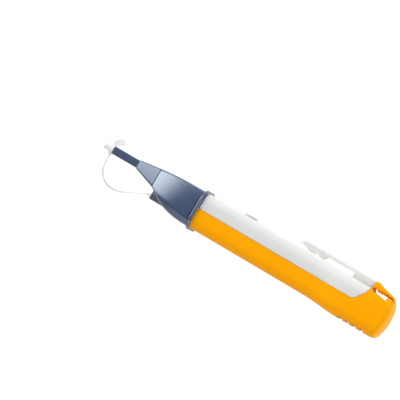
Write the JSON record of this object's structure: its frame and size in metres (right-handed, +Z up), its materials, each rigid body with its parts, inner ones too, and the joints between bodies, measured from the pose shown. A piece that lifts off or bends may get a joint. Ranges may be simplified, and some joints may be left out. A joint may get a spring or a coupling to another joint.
{
  "type": "live fiber detector",
  "caption": "Pen-shaped live fiber detector with a slim probe, tethered ferrule adapter, swing-up cover with pocket clip, push button and lanyard loop.",
  "frame": {"origin": "on the table under the middle of the part, which lies on its flat side", "axes": "+X along the pen toward the probe tip, -Y toward the button and clip side, +Z up, across the pen"},
  "size_m": [0.172, 0.0281, 0.0224],
  "materials": {
    "orange_shell": "satin moulded",
    "white_shell": "satin moulded",
    "button_grey": "soft moulded",
    "black_plastic": "moulded",
    "led_resin": "cast resin",
    "board_laminate": "solder mask",
    "cell_can": "printed sleeve",
    "spring_steel": "nickel plated",
    "slate_plastic": "semi-gloss moulded",
    "navy_plastic": "fine-grained moulded",
    "clear_plastic": "clear moulded"
  },
  "bodies": {
    "body": {"lower_shell": "orange_shell", "nose_cone": "slate_plastic", "nose_tip": "slate_plastic", "probe_tube": "navy_plastic", "light_guide": "clear_plastic", "photodiode": "led_resin", "circuit_board": "board_laminate", "controller_chip": "black_plastic", "tact_switch": "black_plastic", "indicator_led": "led_resin", "buzzer": "black_plastic", "battery_front": "cell_can", "battery_rear": "cell_can", "front_contact": "spring_steel", "return_strip": "spring_steel", "contact_spring": "spring_steel", "tether_plug": "clear_plastic", "tether": "clear_plastic"},
    "cover": {"top_cover": "white_shell"},
    "button": {"power_button": "button_grey", "switch_plunger": "black_plastic"},
    "adapter": {"tip_adapter": "clear_plastic"}
  },
  "joints": [
    {"name": "cover_swing", "type": "hinge", "parent": "body", "child": "cover", "pos_m": [0.02293, -0.00775, 0.0112], "axis": [0, 0, 1], "range_deg": [0, 25]},
    {"name": "button_press", "type": "slide", "parent": "body", "child": "button", "axis": [0, 1, 0], "range_m": [0, 0.0004], "stiffness_N_per_m": 1000},
    {"name": "adapter_pull", "type": "slide", "parent": "body", "child": "adapter", "axis": [1, 0, 0], "range_m": [0, 0.006], "deforming": ["tether"]}
  ]
}
